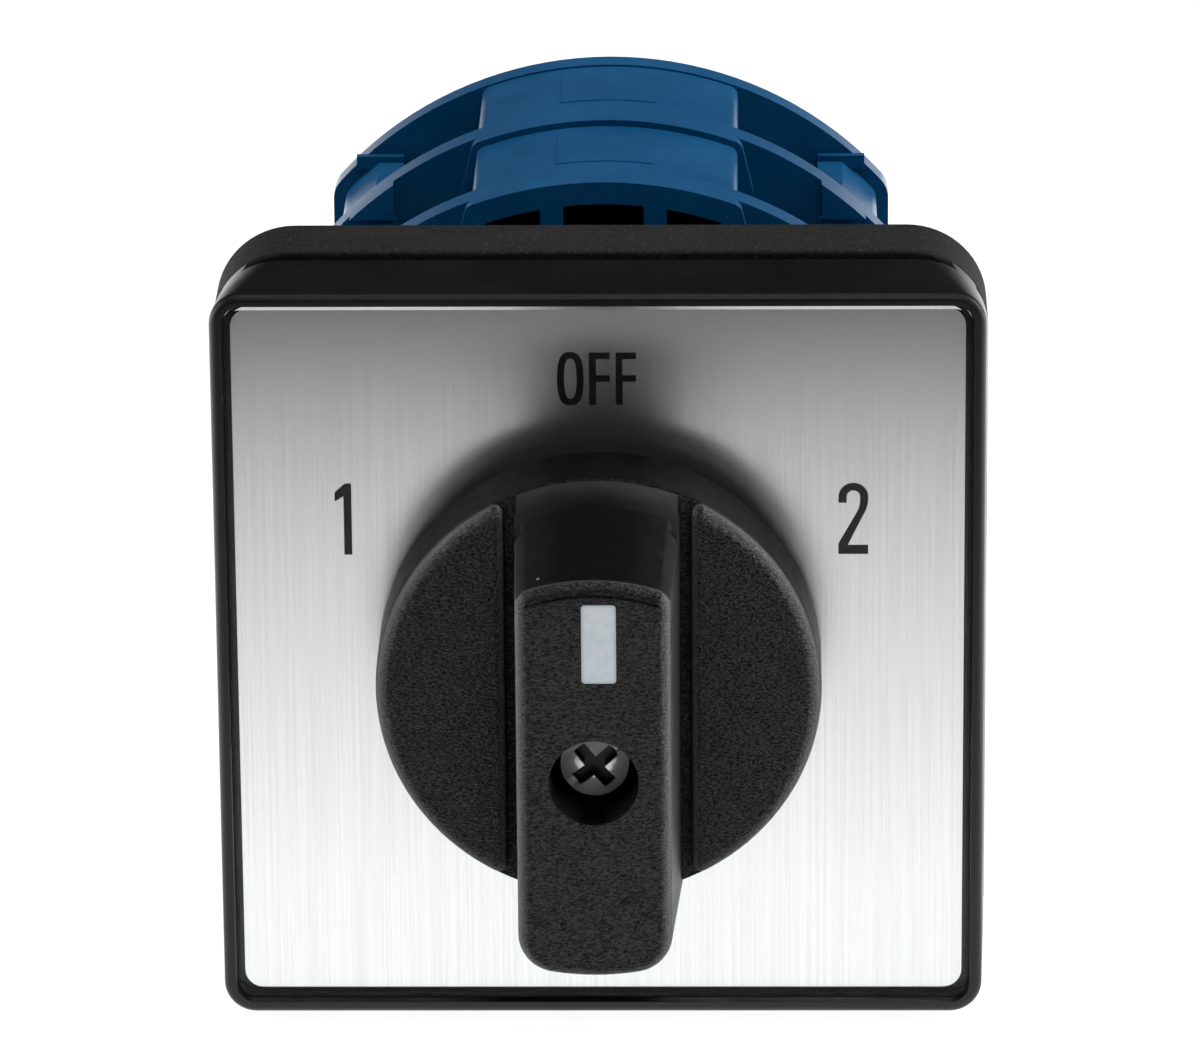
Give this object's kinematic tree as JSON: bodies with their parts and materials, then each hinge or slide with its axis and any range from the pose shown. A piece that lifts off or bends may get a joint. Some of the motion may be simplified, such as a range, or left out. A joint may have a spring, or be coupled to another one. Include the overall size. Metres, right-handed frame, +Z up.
{
  "type": "rotary isolator switch",
  "caption": "Panel-mounted rotary cam switch: black square escutcheon and lever knob in front of a blue disc-shaped contact block, with a centre-off position.",
  "frame": {"origin": "on the shaft axis, in the plane of the panel's front face (gasket's rear face)", "axes": "+X right and +Z up as the operator sees it, +Y along the shaft into the panel; handle at OFF"},
  "size_m": [0.048, 0.0721, 0.048],
  "materials": {
    "black_frame_plastic": "fine matt moulded black",
    "black_handle_plastic": "leather-grained moulded black",
    "black_rubber": "matt, slightly grainy",
    "clear_cover": "clear polished polycarbonate",
    "brushed_legend": "fine vertical brushing",
    "white_mark": "matt white inlay",
    "bright_steel": "bright zinc or nickel plate",
    "zinc_steel": "zinc plated",
    "spring_steel": "bare spring steel",
    "bronze": "sintered bronze",
    "copper": "bare copper",
    "silver": "silver contact alloy",
    "blue_thermoplastic": "matt moulded blue",
    "white_cam_plastic": "natural acetal"
  },
  "bodies": {
    "switch_body": {"front_frame": "black_frame_plastic", "clear_cover": "clear_cover", "legend_plate": "brushed_legend", "panel_gasket": "black_rubber", "shaft_seal": "black_rubber", "seal_retainer": "zinc_steel", "mounting_screws": "zinc_steel", "mounting_plate": "zinc_steel", "latch_housing": "blue_thermoplastic", "detent_springs": "spring_steel", "stop_pins": "bright_steel", "stage_housing_1": "blue_thermoplastic", "stage_housing_2": "blue_thermoplastic", "end_plate": "blue_thermoplastic", "rear_bush": "bronze", "thrust_washer": "zinc_steel", "tie_bolts": "zinc_steel", "fixed_contacts_1": "copper", "fixed_contacts_2": "copper", "fixed_silver_tips": "silver", "terminal_screws": "zinc_steel", "terminal_clamps": "zinc_steel", "contact_spring_1_left": "spring_steel", "contact_spring_1_right": "spring_steel", "contact_spring_2_left": "spring_steel", "contact_spring_2_right": "spring_steel"},
    "rotor": {"handle": "black_handle_plastic", "handle_marker": "white_mark", "handle_screw": "bright_steel", "drive_shaft": "zinc_steel", "star_wheel": "white_cam_plastic", "stop_disc": "zinc_steel", "cam_1": "white_cam_plastic", "cam_2": "white_cam_plastic", "shaft_spacers": "white_cam_plastic", "retaining_clip": "spring_steel"},
    "contact_1_left": {"plunger_1_left": "white_cam_plastic", "bridge_1_left": "copper", "bridge_tips_1_left": "silver"},
    "contact_1_right": {"plunger_1_right": "white_cam_plastic", "bridge_1_right": "copper", "bridge_tips_1_right": "silver"},
    "contact_2_left": {"plunger_2_left": "white_cam_plastic", "bridge_2_left": "copper", "bridge_tips_2_left": "silver"},
    "contact_2_right": {"plunger_2_right": "white_cam_plastic", "bridge_2_right": "copper", "bridge_tips_2_right": "silver"}
  },
  "joints": [
    {"name": "handle_turn", "type": "hinge", "parent": "switch_body", "child": "rotor", "pos_m": [0, 0, 0], "axis": [0, 1, 0], "range_deg": [-60, 60], "deforming": ["detent_springs"]},
    {"name": "contact_1_left_lift", "type": "slide", "parent": "switch_body", "child": "contact_1_left", "axis": [-1, 0, 0], "range_m": [-0.0009, 0.0009], "deforming": ["contact_spring_1_left"]},
    {"name": "contact_1_right_lift", "type": "slide", "parent": "switch_body", "child": "contact_1_right", "axis": [1, 0, 0], "range_m": [-0.0009, 0.0009], "deforming": ["contact_spring_1_right"]},
    {"name": "contact_2_left_lift", "type": "slide", "parent": "switch_body", "child": "contact_2_left", "axis": [-1, 0, 0], "range_m": [-0.0009, 0.0009], "deforming": ["contact_spring_2_left"]},
    {"name": "contact_2_right_lift", "type": "slide", "parent": "switch_body", "child": "contact_2_right", "axis": [1, 0, 0], "range_m": [-0.0009, 0.0009], "deforming": ["contact_spring_2_right"]}
  ],
  "couplings": [
    {"joint": "contact_1_left_lift", "follows": "handle_turn", "m_per_rad": 0.00085944},
    {"joint": "contact_1_right_lift", "follows": "handle_turn", "m_per_rad": -0.00085944},
    {"joint": "contact_2_left_lift", "follows": "handle_turn", "m_per_rad": 0.00085944},
    {"joint": "contact_2_right_lift", "follows": "handle_turn", "m_per_rad": -0.00085944}
  ]
}
